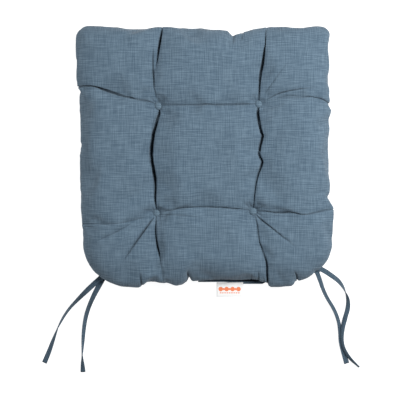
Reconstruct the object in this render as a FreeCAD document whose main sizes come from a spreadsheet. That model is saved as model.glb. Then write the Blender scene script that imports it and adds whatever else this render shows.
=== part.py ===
import FreeCAD, Part
import Sketcher
import math
import os

# Tufted chair seat pad. Millimetres. Origin: centre of the flat underside. +Z up, +Y towards the
# front edge of the seat, and the ties leave the two rounded rear corners at -Y.

V = FreeCAD.Vector
Z_AXIS = V(0, 0, 1)
doc = FreeCAD.newDocument("seat_pad")

DIMENSIONS = {
    # pad
    "half_width": 238.0,
    "front_edge": 243.0,
    "rear_edge": -240.0,
    "front_radius": 40.0,
    "rear_radius": 85.0,
    "crown": 80.0,
    "edge_round": 36.0,
    "seam_level": 38.0,
    "cloth": 1.0,
    "fill_gap": 0.3,
    # seam allowance turned inwards, and the threads that run along it
    "allowance": 10.0,
    "thread": 0.6,
    "stitch_inset": 3.0,
    # stretch of the rear seam that is left open for stuffing and edge-stitched afterwards
    "closing_left": -24.0,
    "closing_length": 140.0,
    "closing_lip": 4.5,
    # tufts
    "seat_top": 56.0,
    "seat_bottom": 14.0,
    "seat_radius": 11.0,
    "dimple_top": 42.0,
    "dimple_bottom": 34.0,
    "shank_hole": 3.0,
    "twine_hole": 2.6,
    "fill_bore": 3.6,
    # covered button
    "cap_radius": 7.8,
    "cap_rim": 1.5,
    "cap_crown": 5.6,
    "cap_cloth": 0.6,
    "shell_gap": 0.1,
    "shell_wall": 0.4,
    "plate_radius": 6.6,
    "plate_thickness": 0.5,
    "shank_half_width": 2.2,
    "shank_leg": 2.5,
    "shank_wire": 0.5,
    # twine, its knot and the flat button under the pad
    "twine_radius": 0.6,
    "twine_half_width": 1.6,
    "twine_top": 52.55,
    "knot_radius": 2.3,
    "knot_level": 9.6,
    "disc_radius": 9.0,
    "disc_thickness": 2.0,
    "disc_edge": 0.6,
    "disc_hole": 0.8,
    # ties
    "tie_width": 10.0,
    "tie_thickness": 1.6,
    "tie_layer_gap": 0.6,
    "tie_sewn_length": 15.0,
    "slot_clearance": 0.3,
    "bartack_width": 1.6,
    "bartack_height": 0.5,
    "bartack_inset": 9.0,
    # woven label
    "label_left": 23.0,
    "label_width": 50.0,
    "label_thickness": 0.6,
    "label_pivot": -245.0,
    "label_drop": 18.5,
    "label_sewn_length": 8.0,
    "label_swing_gap": 0.5,
}

# Where each button is pulled down, as (x, y); tufting is done by hand, so the four differ a little.
TUFTS = {
    "front_left": (-87.0, 95.0),
    "front_right": (101.0, 99.0),
    "rear_left": (-90.0, -105.5),
    "rear_right": (90.5, -102.5),
}

# Where the two tails of each tie pair hinge, just outside the seam, and the seam's outward bearing.
TIE_ROOTS = {
    "left": (-198.0, -234.1, 240.4),
    "right": (216.2, -220.5, 313.9),
}

# Route of each tail: out of the seam, down to the surface that the pad lies on, and along it.
TIE_ROUTES = {
    "tie_left_outer": [
        (-202.6, -237.4, 39.1), (-217.5, -248.5, 36.9), (-233.0, -262.0, 25.0),
        (-247.0, -276.0, 9.5), (-260.0, -291.0, 1.9), (-271.0, -308.0, 1.0),
        (-281.0, -330.5, 1.0), (-289.5, -354.0, 1.0), (-295.5, -372.0, 1.0),
        (-300.5, -387.5, 1.0),
    ],
    "tie_left_inner": [
        (-200.9, -239.1, 36.9), (-208.3, -254.0, 34.5), (-215.6, -271.0, 22.5),
        (-221.6, -288.0, 8.0), (-226.2, -307.0, 1.6), (-229.2, -329.0, 1.0),
        (-231.0, -352.0, 1.0), (-231.6, -375.0, 1.0), (-231.2, -391.5, 1.0),
        (-229.9, -404.5, 1.0),
    ],
    "tie_right_inner": [
        (217.6, -226.0, 36.9), (221.8, -242.0, 34.4), (227.5, -259.0, 22.5),
        (235.0, -275.0, 8.0), (242.0, -292.0, 1.6), (247.0, -311.0, 1.0),
        (250.3, -332.0, 1.0), (254.2, -352.5, 1.0), (260.5, -371.5, 1.0),
        (266.5, -388.0, 1.0),
    ],
    "tie_right_outer": [
        (221.2, -223.5, 39.1), (236.0, -231.5, 36.6), (250.5, -242.0, 25.0),
        (262.0, -255.5, 9.5), (267.8, -272.0, 1.9), (268.0, -289.5, 1.0),
        (264.8, -308.0, 1.0), (263.6, -329.0, 1.0), (266.8, -350.0, 1.0),
        (275.5, -369.5, 1.0), (283.5, -383.5, 1.0), (290.5, -395.0, 1.0),
    ],
}

# An arc at a route point uses this share of the shorter run beside it.
ARC_SHARE = 0.45

sheet = doc.addObject("Spreadsheet::Sheet", "sheet")
sheet_row = 0


def add_cell(alias, value):
    """Put one number in the spreadsheet under its alias."""
    global sheet_row
    sheet_row += 1
    sheet.set(f"A{sheet_row}", alias)
    sheet.set(f"B{sheet_row}", str(value))
    sheet.setAlias(f"B{sheet_row}", alias)


for alias, value in DIMENSIONS.items():
    add_cell(alias, value)
for place, (x, y) in TUFTS.items():
    add_cell(f"tuft_{place}_x", x)
    add_cell(f"tuft_{place}_y", y)
for side, (x, y, bearing) in TIE_ROOTS.items():
    add_cell(f"tie_{side}_x", x)
    add_cell(f"tie_{side}_y", y)
    add_cell(f"tie_{side}_bearing", bearing)
doc.recompute()


def size(expression):
    """The value of an expression over the spreadsheet's cells, such as "crown - cloth"."""
    cells = {alias: float(sheet.get(alias)) for alias in DIMENSIONS}
    total = 0.0
    sign = 1.0
    for word in expression.split():
        if word in "+-":
            sign = -1.0 if word == "-" else 1.0
        else:
            total += sign * (cells[word] if word in cells else float(word))
    return total


def bound(expression):
    """The same expression with every cell's name prefixed by the sheet's."""
    words = expression.split()
    return " ".join(f"sheet.{word}" if word in DIMENSIONS else word for word in words)


def less(total, part):
    """The expression total minus the whole of part."""
    flipped = part.replace("+", "~").replace("-", "+").replace("~", "-")
    return f"{total} - {flipped}"


# ---------------------------------------------------------------- document helpers

parts = {}


def keep(node, shape_object):
    """Register a finished object as the sub-part of that name."""
    shape_object.Label = node
    parts[node] = shape_object
    return shape_object


def new_body(name):
    return doc.addObject("PartDesign::Body", name)


def new_sketch(body, name, plane="XY_Plane", offset=None):
    """A sketch on one of the body's own origin planes, raised along the plane's normal."""
    sketch = body.newObject("Sketcher::SketchObject", name)
    support = [o for o in body.Origin.OriginFeatures if o.Role == plane][0]
    sketch.AttachmentSupport = [(support, "")]
    sketch.MapMode = "FlatFace"
    if offset is not None:
        sketch.AttachmentOffset = FreeCAD.Placement(V(0, 0, size(offset)), FreeCAD.Rotation())
        sketch.setExpression(".AttachmentOffset.Base.z", bound(offset))
    return sketch


def dimension(sketch, kind, *reference, value, name):
    """A named dimensional constraint whose value follows the spreadsheet."""
    number = size(value)
    index = sketch.addConstraint(Sketcher.Constraint(kind, *reference, abs(number)))
    sketch.renameConstraint(index, name)
    text = bound(value)
    sketch.setExpression(f"Constraints.{name}", text if number > 0 else f"-({text})")


def pad_feature(body, sketch, length, name):
    pad = body.newObject("PartDesign::Pad", name)
    pad.Profile = sketch
    pad.Length = size(length)
    pad.setExpression("Length", bound(length))
    sketch.Visibility = False
    doc.recompute()
    return pad


def primitive(kind, name, **sizes):
    """A Part primitive with each of its sizes bound to the sheet."""
    solid = doc.addObject(f"Part::{kind}", name)
    for key, expression in sizes.items():
        setattr(solid, key, size(expression))
        solid.setExpression(key, bound(expression))
    return solid


def place(item, x=None, y=None, z=None):
    """Bind an object's position to expressions over the sheet."""
    for axis, expression in (("x", x), ("y", y), ("z", z)):
        if expression is not None:
            item.setExpression(f".Placement.Base.{axis}", expression)


def boolean(kind, name, base, tool):
    result = doc.addObject(f"Part::{kind}", name)
    result.Base = base
    result.Tool = tool
    result.Refine = True
    doc.recompute()
    return result


def compound(name, items):
    group = doc.addObject("Part::Compound", name)
    group.Links = items
    doc.recompute()
    return group


# ---------------------------------------------------------------- outline of the pad

def outline(sketch, inset, tag):
    """Draw the pad's outline, moved inwards: square front corners, large rear corners."""
    half_width = less("half_width", inset)
    front_edge = less("front_edge", inset)
    rear_edge = f"rear_edge + {inset}"
    front_radius = less("front_radius", inset)
    rear_radius = less("rear_radius", inset)
    side = size(half_width)
    front = size(front_edge)
    rear = size(rear_edge)
    r_front = size(front_radius)
    r_rear = size(rear_radius)
    corners = [
        (side - r_rear, rear + r_rear, r_rear, 270),
        (side - r_front, front - r_front, r_front, 0),
        (r_front - side, front - r_front, r_front, 90),
        (r_rear - side, rear + r_rear, r_rear, 180),
    ]
    arcs = []
    for x, y, radius, start in corners:
        circle = Part.Circle(V(x, y, 0), Z_AXIS, radius)
        span = (math.radians(start), math.radians(start + 90))
        arcs.append(sketch.addGeometry(Part.ArcOfCircle(circle, *span), False))
    lines = []
    for arc, following in zip(arcs, arcs[1:] + arcs[:1]):
        ends = (sketch.getPoint(arc, 2), sketch.getPoint(following, 1))
        lines.append(sketch.addGeometry(Part.LineSegment(*ends), False))
    for line, arc, following in zip(lines, arcs, arcs[1:] + arcs[:1]):
        sketch.addConstraint(Sketcher.Constraint("Tangent", arc, 2, line, 1))
        sketch.addConstraint(Sketcher.Constraint("Tangent", line, 2, following, 1))
    right, top, left, bottom = lines
    sketch.addConstraint(Sketcher.Constraint("Vertical", right))
    sketch.addConstraint(Sketcher.Constraint("Horizontal", top))
    sketch.addConstraint(Sketcher.Constraint("Vertical", left))
    sketch.addConstraint(Sketcher.Constraint("Horizontal", bottom))
    sketch.addConstraint(Sketcher.Constraint("Equal", arcs[1], arcs[2]))
    sketch.addConstraint(Sketcher.Constraint("Equal", arcs[3], arcs[0]))
    reach = (
        ("DistanceX", (-1, 1, right, 1), half_width, "right"),
        ("DistanceX", (left, 1, -1, 1), half_width, "left"),
        ("DistanceY", (-1, 1, top, 1), front_edge, "front"),
        ("DistanceY", (bottom, 1, -1, 1), rear_edge, "rear"),
        ("Radius", (arcs[1],), front_radius, "front_corner"),
        ("Radius", (arcs[0],), rear_radius, "rear_corner"),
    )
    for kind, reference, value, name in reach:
        dimension(sketch, kind, *reference, value=value, name=f"{name}_{tag}")


def rim(shape, level):
    """Names of the edges that lie wholly at one height."""
    names = []
    for index, edge in enumerate(shape.Edges, 1):
        box = edge.BoundBox
        if abs(box.ZMin - level) < 1e-6 and abs(box.ZMax - level) < 1e-6:
            names.append(f"Edge{index}")
    return names


def dimples(name, inset):
    """The eight funnels that the twine pulls into the pad, four above and four below."""
    reach = 6.0
    cones = []
    for place_name in TUFTS:
        top = doc.addObject("Part::Cone", f"{name}_top_{place_name}")
        drop = f"sheet.crown - sheet.seat_top + {reach}"
        slope = "(sheet.dimple_top - sheet.seat_radius) / (sheet.crown - sheet.seat_top)"
        top.setExpression("Radius1", "sheet.seat_radius")
        top.setExpression("Radius2", f"sheet.seat_radius + ({drop}) * {slope}")
        top.setExpression("Height", drop)
        place(
            top,
            f"sheet.tuft_{place_name}_x",
            f"sheet.tuft_{place_name}_y",
            f"sheet.seat_top - {inset}",
        )
        under = doc.addObject("Part::Cone", f"{name}_under_{place_name}")
        rise = f"sheet.seat_bottom + {reach}"
        widening = "(sheet.dimple_bottom - sheet.seat_radius) / sheet.seat_bottom"
        under.setExpression("Radius1", f"sheet.seat_radius + ({rise}) * {widening}")
        under.setExpression("Radius2", "sheet.seat_radius")
        under.setExpression("Height", rise)
        place(
            under,
            f"sheet.tuft_{place_name}_x",
            f"sheet.tuft_{place_name}_y",
            f"{inset} - {reach}",
        )
        cones += [top, under]
    return compound(f"{name}_dimples", cones)


def cushion(name, inset):
    """The pad's outer shape moved inwards by an expression: rounded edges and tufted."""
    body = new_body(f"{name}_block")
    sketch = new_sketch(body, f"{name}_outline", offset=inset)
    outline(sketch, inset, "rim")
    top = less("crown", inset)
    pad = pad_feature(body, sketch, less(top, inset), f"{name}_thickness")
    edges = rim(pad.Shape, size(inset)) + rim(pad.Shape, size(top))
    fillet = body.newObject("PartDesign::Fillet", f"{name}_rounding")
    fillet.Base = (pad, edges)
    fillet.Radius = size(less("edge_round", inset))
    fillet.setExpression("Radius", bound(less("edge_round", inset)))
    doc.recompute()
    depth = f"({bound(inset)})"
    return boolean("Cut", f"{name}_tufted", body, dimples(name, depth))


def ring(name, outer, inner, low, height):
    """A band between two outlines, from one level up."""
    body = new_body(name)
    sketch = new_sketch(body, f"{name}_sketch", offset=low)
    outline(sketch, outer, "outer")
    outline(sketch, inner, "inner")
    pad_feature(body, sketch, height, f"{name}_pad")
    return body


def slab(name, x, y, z, length, width, height):
    """A box given by its low corner and its three sizes, all expressions over the sheet."""
    box = primitive("Box", name, Length=length, Width=width, Height=height)
    place(box, bound(x), bound(y), bound(z))
    return box


def rectangle(sketch, left, low, right, high):
    """Four lines with square corners: bottom, right, top, left."""
    corners = [V(left, low, 0), V(right, low, 0), V(right, high, 0), V(left, high, 0)]
    lines = [
        sketch.addGeometry(Part.LineSegment(a, b), False)
        for a, b in zip(corners, corners[1:] + corners[:1])
    ]
    for line, following in zip(lines, lines[1:] + lines[:1]):
        sketch.addConstraint(Sketcher.Constraint("Coincident", line, 2, following, 1))
    for line, kind in zip(lines, ("Horizontal", "Vertical") * 2):
        sketch.addConstraint(Sketcher.Constraint(kind, line))
    return lines


TIE_STACK = "tie_thickness + tie_thickness + tie_layer_gap"


def at_tie_root(item, side):
    """Turn and move an item from the origin to a tie pair's pivot, centred on the seam's level."""
    place(
        item,
        f"sheet.tie_{side}_x",
        f"sheet.tie_{side}_y",
        f"sheet.seam_level - ({bound(TIE_STACK)}) / 2",
    )
    item.Placement.Rotation = FreeCAD.Rotation(Z_AXIS, TIE_ROOTS[side][2])
    item.setExpression(".Placement.Rotation.Angle", f"sheet.tie_{side}_bearing")
    doc.recompute()


def folded_end(name, side, clearance):
    """The sewn end of a tie pair as one block: straight in the seam, round about the pivot."""
    body = new_body(name)
    sketch = new_sketch(body, f"{name}_sketch", offset=less("0", clearance))
    half = size("tie_width") / 2 + size(clearance)
    inner = size("tie_sewn_length") + size(clearance)
    nose = Part.ArcOfCircle(Part.Circle(V(0, 0, 0), Z_AXIS, half), -math.pi / 2, math.pi / 2)
    arc = sketch.addGeometry(nose, False)
    corners = [V(0, half, 0), V(-inner, half, 0), V(-inner, -half, 0), V(0, -half, 0)]
    upper, end, lower = [
        sketch.addGeometry(Part.LineSegment(a, b), False)
        for a, b in zip(corners, corners[1:])
    ]
    sketch.addConstraint(Sketcher.Constraint("Coincident", arc, 3, -1, 1))
    sketch.addConstraint(Sketcher.Constraint("Tangent", arc, 2, upper, 1))
    sketch.addConstraint(Sketcher.Constraint("Coincident", upper, 2, end, 1))
    sketch.addConstraint(Sketcher.Constraint("Coincident", end, 2, lower, 1))
    sketch.addConstraint(Sketcher.Constraint("Tangent", lower, 2, arc, 1))
    sketch.addConstraint(Sketcher.Constraint("Horizontal", upper))
    sketch.addConstraint(Sketcher.Constraint("Vertical", end))
    width = sketch.addConstraint(Sketcher.Constraint("DistanceY", end, 2, end, 1, 2 * half))
    sketch.renameConstraint(width, "width")
    sketch.setExpression("Constraints.width", f"sheet.tie_width + 2 * ({bound(clearance)})")
    sewn = f"tie_sewn_length + {clearance}"
    dimension(sketch, "DistanceX", end, 1, -1, 1, value=sewn, name="sewn")
    pad_feature(body, sketch, f"{TIE_STACK} + {clearance} + {clearance}", f"{name}_stack")
    at_tie_root(body, side)
    return body


def fold_slots(name, clearance):
    """The room that the two folded ends take in whatever is sewn over them."""
    return [folded_end(f"{name}_{side}", side, clearance) for side in TIE_ROOTS]


def part_layers(body, name):
    """Cut the folded end into its two layers, which stay joined at the fold."""
    sketch = new_sketch(body, f"{name}_gap_sketch", plane="XZ_Plane")
    fold = "tie_sewn_length - tie_thickness"
    low = size("tie_thickness")
    bottom, right, _, left = rectangle(
        sketch, -size(fold), low, size("tie_width"), low + size("tie_layer_gap"))
    dimension(sketch, "DistanceX", left, 2, -1, 1, value=fold, name="fold")
    dimension(sketch, "DistanceX", -1, 1, right, 1, value="tie_width", name="mouth")
    dimension(sketch, "DistanceY", -1, 1, bottom, 1, value="tie_thickness", name="layer")
    dimension(sketch, "DistanceY", right, 1, right, 2, value="tie_layer_gap", name="gap")
    pocket = body.newObject("PartDesign::Pocket", f"{name}_gap")
    pocket.Profile = sketch
    pocket.Midplane = True
    pocket.setExpression("Length", "sheet.tie_width * 2")
    whole = body.Shape.Volume
    doc.recompute()
    if body.Shape.Volume >= whole:
        raise RuntimeError(f"{name}: the gap between the layers cut nothing")


# ---------------------------------------------------------------- cover, fill and seam

def bores(name, radius, low, height):
    """One upright hole at each tuft."""
    tools = []
    for place_name in TUFTS:
        hole = primitive("Cylinder", f"{name}_{place_name}", Radius=radius, Height=height)
        place(hole, f"sheet.tuft_{place_name}_x", f"sheet.tuft_{place_name}_y", bound(low))
        tools.append(hole)
    return tools


def lip(name, low):
    """The folded edge that stands out along the closing stretch of the rear seam."""
    return slab(
        name, "closing_left", "rear_edge - closing_lip", low,
        "closing_length", "closing_lip + cloth", "cloth",
    )


def label_slot(name):
    return slab(
        name, "label_left - fill_gap", "label_pivot", "seam_level - fill_gap",
        "label_width + fill_gap + fill_gap", "label_sewn_length + fill_gap",
        "label_thickness",
    )


def make_cover_and_fill():
    """Two sewn panels with their seam allowances, and the fibre block between them."""
    outside = cushion("outside", "0")
    inside = cushion("inside", "cloth")
    skin = boolean("Cut", "skin", outside, inside)
    upper = slab(
        "upper_half", "0 - half_width - cloth", "rear_edge - cloth", "seam_level",
        "half_width + half_width + cloth + cloth", "front_edge - rear_edge + cloth + cloth",
        "crown",
    )
    halves = {
        "top_panel": ("Common", "seam_level", "shank_hole", "seat_top - edge_round"),
        "bottom_panel": ("Cut", "seam_level - cloth", "twine_hole", "0"),
    }
    for node, (kind, flange_low, hole, hole_low) in halves.items():
        half = boolean(kind, f"{node}_skin", skin, upper)
        flange = ring(f"{node}_allowance", "fill_gap", "cloth + allowance", flange_low, "cloth")
        edge = lip(f"{node}_lip", flange_low)
        joined = doc.addObject("Part::MultiFuse", f"{node}_joined")
        joined.Shapes = [half, flange, edge]
        joined.Refine = True
        tools = bores(f"{node}_hole", hole, hole_low, "crown")
        tools += fold_slots(f"{node}_slot", "slot_clearance")
        tools.append(label_slot(f"{node}_label_slot"))
        doc.recompute()
        panel = boolean("Cut", f"{node}_cut", joined, compound(f"{node}_tools", tools))
        keep(node, panel)
    core = cushion("core", "cloth + fill_gap")
    seam_slot = ring(
        "seam_slot", "0", "cloth + allowance + fill_gap",
        "seam_level - cloth - thread - fill_gap",
        "cloth + cloth + thread + thread + fill_gap + fill_gap",
    )
    tools = [seam_slot] + bores("fill_bore", "fill_bore", "0 - cloth", "crown + cloth")
    tools += fold_slots("fill_slot", "bartack_height + fill_gap")
    keep("fibre_fill", boolean("Cut", "fill_cut", core, compound("fill_tools", tools)))


def make_seam_threads():
    """The lockstitch: needle thread over the allowances and bobbin thread under them."""
    levels = {
        "needle_thread": "seam_level + cloth",
        "bobbin_thread": "seam_level - cloth - thread",
    }
    for node, low in levels.items():
        loop = ring(f"{node}_ring", "stitch_inset", "stitch_inset + thread", low, "thread")
        gap = slab(
            f"{node}_closing", "closing_left", "rear_edge", "0",
            "closing_length", "rear_radius", "crown",
        )
        tools = [gap] + fold_slots(f"{node}_slot", "slot_clearance")
        keep(node, boolean("Cut", f"{node}_cut", loop, compound(f"{node}_tools", tools)))


def make_closing_thread():
    """The edge stitch round the two lips: a flat loop above, below and past both ends."""
    body = new_body("closing_loop")
    sketch = new_sketch(body, "closing_loop_sketch", plane="XZ_Plane")
    thread = size("thread")
    left = size("closing_left")
    right = left + size("closing_length")
    low = size("seam_level - cloth")
    high = size("seam_level + cloth")
    rectangle(sketch, left - thread, low - thread, right + thread, high + thread)
    rectangle(sketch, left, low, right, high)
    reach = (
        ("DistanceX", (3, 1, -1, 1), "0 - closing_left + thread", "outer_left"),
        ("DistanceX", (-1, 1, 1, 1), "closing_left + closing_length + thread", "outer_right"),
        ("DistanceY", (-1, 1, 0, 1), "seam_level - cloth - thread", "outer_low"),
        ("DistanceY", (-1, 1, 2, 1), "seam_level + cloth + thread", "outer_high"),
        ("DistanceX", (7, 1, -1, 1), "0 - closing_left", "inner_left"),
        ("DistanceX", (-1, 1, 5, 1), "closing_left + closing_length", "inner_right"),
        ("DistanceY", (-1, 1, 4, 1), "seam_level - cloth", "inner_low"),
        ("DistanceY", (-1, 1, 6, 1), "seam_level + cloth", "inner_high"),
    )
    for kind, reference, value, name in reach:
        dimension(sketch, kind, *reference, value=value, name=name)
    pad_feature(body, sketch, "thread", "closing_loop_pad")
    place(body, y=f"{bound('rear_edge - closing_lip')} + {bound('closing_lip')} / 2")
    doc.recompute()
    keep("closing_seam_thread", body)


# ---------------------------------------------------------------- tufts

def profile(sketch, points, curved):
    """A closed profile through points (x, z); the runs named in curved are arcs about the axis."""
    elements = []
    for index, (a, b) in enumerate(zip(points, points[1:] + points[:1])):
        start, end = V(a[0], a[1], 0), V(b[0], b[1], 0)
        if index in curved:
            # centre on the axis of revolution: equal distances to both ends
            level = (a[0] ** 2 + a[1] ** 2 - b[0] ** 2 - b[1] ** 2) / (2 * (a[1] - b[1]))
            radius = math.hypot(a[0], a[1] - level)
            angles = [math.atan2(p[1] - level, p[0]) for p in (a, b)]
            circle = Part.Circle(V(0, level, 0), Z_AXIS, radius)
            elements.append(sketch.addGeometry(Part.ArcOfCircle(circle, *sorted(angles)), False))
        else:
            elements.append(sketch.addGeometry(Part.LineSegment(start, end), False))
    ends = []
    for index, element in enumerate(elements):
        # an arc runs counter-clockwise, so one drawn from the axis outwards starts at its far end
        backwards = index in curved and points[index][0] < points[(index + 1) % len(points)][0]
        ends.append((element, 2, 1) if backwards else (element, 1, 2))
    for (one, _, out), (two, into, _) in zip(ends, ends[1:] + ends[:1]):
        sketch.addConstraint(Sketcher.Constraint("Coincident", one, out, two, into))
    for index in curved:
        sketch.addConstraint(Sketcher.Constraint("PointOnObject", elements[index], 3, -2))
    return ends


def dome(name, radius, base, rim_height, top, wall):
    """A thin domed cup standing on its rim, as a revolution."""
    body = new_body(name)
    sketch = new_sketch(body, f"{name}_profile", plane="XZ_Plane")
    points = [
        (0.0, size(top)),
        (size(radius), size(rim_height)),
        (size(radius), size(base)),
        (size(f"{radius} - {wall}"), size(base)),
        (size(f"{radius} - {wall}"), size(rim_height)),
        (0.0, size(f"{top} - {wall}")),
    ]
    ends = profile(sketch, points, curved=(0, 4))
    for index, kind in ((1, "Vertical"), (2, "Horizontal"), (3, "Vertical"), (5, "Vertical")):
        sketch.addConstraint(Sketcher.Constraint(kind, ends[index][0]))
    outer, foot, inner, axis = (ends[index][0] for index in (1, 2, 3, 5))
    sketch.addConstraint(Sketcher.Constraint("PointOnObject", axis, 1, -2))
    reach = (
        ("DistanceX", (-1, 1, outer, 1), radius, "radius"),
        ("DistanceX", (-1, 1, inner, 1), f"{radius} - {wall}", "inner_radius"),
        ("DistanceY", (-1, 1, foot, 1), base, "base"),
        ("DistanceY", (-1, 1, outer, 1), rim_height, "rim"),
        ("DistanceY", (-1, 1, inner, 2), rim_height, "inner_rim"),
        ("DistanceY", (-1, 1, axis, 2), top, "top"),
        ("DistanceY", (-1, 1, axis, 1), f"{top} - {wall}", "inner_top"),
    )
    for kind, reference, value, constraint in reach:
        dimension(sketch, kind, *reference, value=value, name=constraint)
    turn = body.newObject("PartDesign::Revolution", f"{name}_turn")
    turn.Profile = sketch
    turn.ReferenceAxis = (sketch, ["V_Axis"])
    turn.Angle = 360.0
    doc.recompute()
    return body


def hoop(name, plane, half_width, bend, foot, radius):
    """A wire bent in a half circle between two straight legs; the legs end at the foot level."""
    body = new_body(name)
    path = new_sketch(body, f"{name}_path", plane=plane)
    side = size(half_width)
    rounded = size(bend)
    end = size(foot)
    below = end > rounded
    span = (math.pi, 2 * math.pi) if below else (0.0, math.pi)
    arc = path.addGeometry(Part.ArcOfCircle(Part.Circle(V(0, rounded, 0), Z_AXIS, side), *span), False)
    near, far = (2, 1) if below else (1, 2)
    right = path.addGeometry(Part.LineSegment(V(side, end, 0), V(side, rounded, 0)), False)
    left = path.addGeometry(Part.LineSegment(V(-side, rounded, 0), V(-side, end, 0)), False)
    path.addConstraint(Sketcher.Constraint("Tangent", right, 2, arc, near))
    path.addConstraint(Sketcher.Constraint("Tangent", arc, far, left, 1))
    path.addConstraint(Sketcher.Constraint("Vertical", right))
    path.addConstraint(Sketcher.Constraint("PointOnObject", arc, 3, -2))
    path.addConstraint(Sketcher.Constraint("Horizontal", right, 1, left, 2))
    dimension(path, "DistanceX", -1, 1, right, 1, value=half_width, name="half_width")
    dimension(path, "DistanceY", -1, 1, arc, 3, value=bend, name="bend")
    dimension(path, "DistanceY", -1, 1, right, 1, value=foot, name="foot")
    section = new_sketch(body, f"{name}_section", offset=foot)
    centre = V(side, 0, 0) if plane == "XZ_Plane" else V(0, side, 0)
    circle = section.addGeometry(Part.Circle(centre, Z_AXIS, size(radius)), False)
    along, across = ("DistanceX", -1) if plane == "XZ_Plane" else ("DistanceY", -2)
    section.addConstraint(Sketcher.Constraint("PointOnObject", circle, 3, across))
    dimension(section, along, -1, 1, circle, 3, value=half_width, name="half_width")
    dimension(section, "Radius", circle, value=radius, name="radius")
    pipe = body.newObject("PartDesign::AdditivePipe", f"{name}_wire")
    pipe.Profile = section
    pipe.Spine = path
    doc.recompute()
    return body


def disc(name, radius, low, thickness, holes=None, edge=None):
    """A flat round plate, with two thread holes across it where it has them."""
    body = new_body(name)
    sketch = new_sketch(body, f"{name}_sketch", offset=low)
    circle = sketch.addGeometry(Part.Circle(V(0, 0, 0), Z_AXIS, size(radius)), False)
    sketch.addConstraint(Sketcher.Constraint("Coincident", circle, 3, -1, 1))
    dimension(sketch, "Radius", circle, value=radius, name="radius")
    if holes:
        for sign, way in ((1, "front"), (-1, "rear")):
            centre = V(0, sign * size("twine_half_width"), 0)
            hole = sketch.addGeometry(Part.Circle(centre, Z_AXIS, size(holes)), False)
            sketch.addConstraint(Sketcher.Constraint("PointOnObject", hole, 3, -2))
            ends = (-1, 1, hole, 3) if sign > 0 else (hole, 3, -1, 1)
            dimension(sketch, "DistanceY", *ends, value="twine_half_width", name=f"{way}_place")
            dimension(sketch, "Radius", hole, value=holes, name=f"{way}_hole")
    pad = pad_feature(body, sketch, thickness, f"{name}_pad")
    if edge:
        rounded = body.newObject("PartDesign::Fillet", f"{name}_edge")
        wide = [
            f"Edge{index}" for index, e in enumerate(pad.Shape.Edges, 1)
            if e.BoundBox.XLength > size(radius) and e.BoundBox.ZLength < 1e-6
        ]
        rounded.Base = (pad, wide)
        rounded.Radius = size(edge)
        rounded.setExpression("Radius", bound(edge))
        doc.recompute()
    return body


def make_twine():
    """Doubled twine over the shank and down through the pad, tied off in a knot."""
    bend = "twine_top - twine_half_width"
    body = hoop("twine_hoop", "YZ_Plane", "twine_half_width", bend, "knot_level", "twine_radius")
    knot = body.newObject("PartDesign::AdditiveSphere", "twine_knot")
    knot.Radius = size("knot_radius")
    knot.setExpression("Radius", "sheet.knot_radius")
    plane = [o for o in body.Origin.OriginFeatures if o.Role == "XY_Plane"][0]
    knot.AttachmentSupport = [(plane, "")]
    knot.MapMode = "FlatFace"
    knot.AttachmentOffset = FreeCAD.Placement(V(0, 0, size("knot_level")), FreeCAD.Rotation())
    knot.setExpression(".AttachmentOffset.Base.z", "sheet.knot_level")
    doc.recompute()
    return body


def at_tufts(node, source):
    """One sub-part at each tuft, sharing the shape that was made once at the origin."""
    for place_name in TUFTS:
        copy = doc.addObject("Part::Compound", f"{node}_{place_name}_item")
        copy.Links = [source]
        place(copy, f"sheet.tuft_{place_name}_x", f"sheet.tuft_{place_name}_y")
        keep(f"{node}_{place_name}", copy)
    doc.recompute()


def make_tufts():
    """Covered button, its metal parts, the twine and the flat button below, four times."""
    at_tufts("button_cap", dome(
        "cap", "cap_radius", "seat_top", "seat_top + cap_rim", "seat_top + cap_crown", "cap_cloth"))
    shell_radius = "cap_radius - cap_cloth - shell_gap"
    shell_top = "seat_top + cap_crown - cap_cloth - shell_gap"
    at_tufts("button_shell", dome(
        "shell", shell_radius, "seat_top + shell_gap", "seat_top + cap_rim", shell_top, "shell_wall"))
    at_tufts("button_back", disc("back", "plate_radius", "seat_top + shell_gap", "plate_thickness"))
    at_tufts("button_shank", hoop(
        "shank", "XZ_Plane", "shank_half_width",
        "seat_top + shell_gap - shank_leg", "seat_top + shell_gap", "shank_wire"))
    at_tufts("twine", make_twine())
    at_tufts("under_button", disc(
        "under", "disc_radius", "seat_bottom - disc_thickness", "disc_thickness",
        holes="disc_hole", edge="disc_edge"))


# ---------------------------------------------------------------- ties and label

def rounded_route(name, points):
    """Straight runs joined by tangent arcs, each as large as its runs allow."""
    points = [V(*p) for p in points]
    edges = []
    radii = []
    start = points[0]
    for before, corner, after in zip(points, points[1:], points[2:]):
        inward = (before - corner).normalize()
        outward = (after - corner).normalize()
        turn = math.pi - inward.getAngle(outward)
        trim = ARC_SHARE * min((before - corner).Length, (after - corner).Length)
        radius = trim / math.tan(turn / 2)
        centre = corner + (inward + outward).normalize() * (radius / math.cos(turn / 2))
        middle = centre + (corner - centre).normalize() * radius
        first = corner + inward * trim
        last = corner + outward * trim
        edges.append(Part.LineSegment(start, first).toShape())
        edges.append(Part.Arc(first, middle, last).toShape())
        radii.append(radius)
        start = last
    edges.append(Part.LineSegment(start, points[-1]).toShape())
    wire = Part.Wire(edges)
    print(f"{name}: length {wire.Length:.1f}, radii", [round(r) for r in radii])
    return wire


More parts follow.
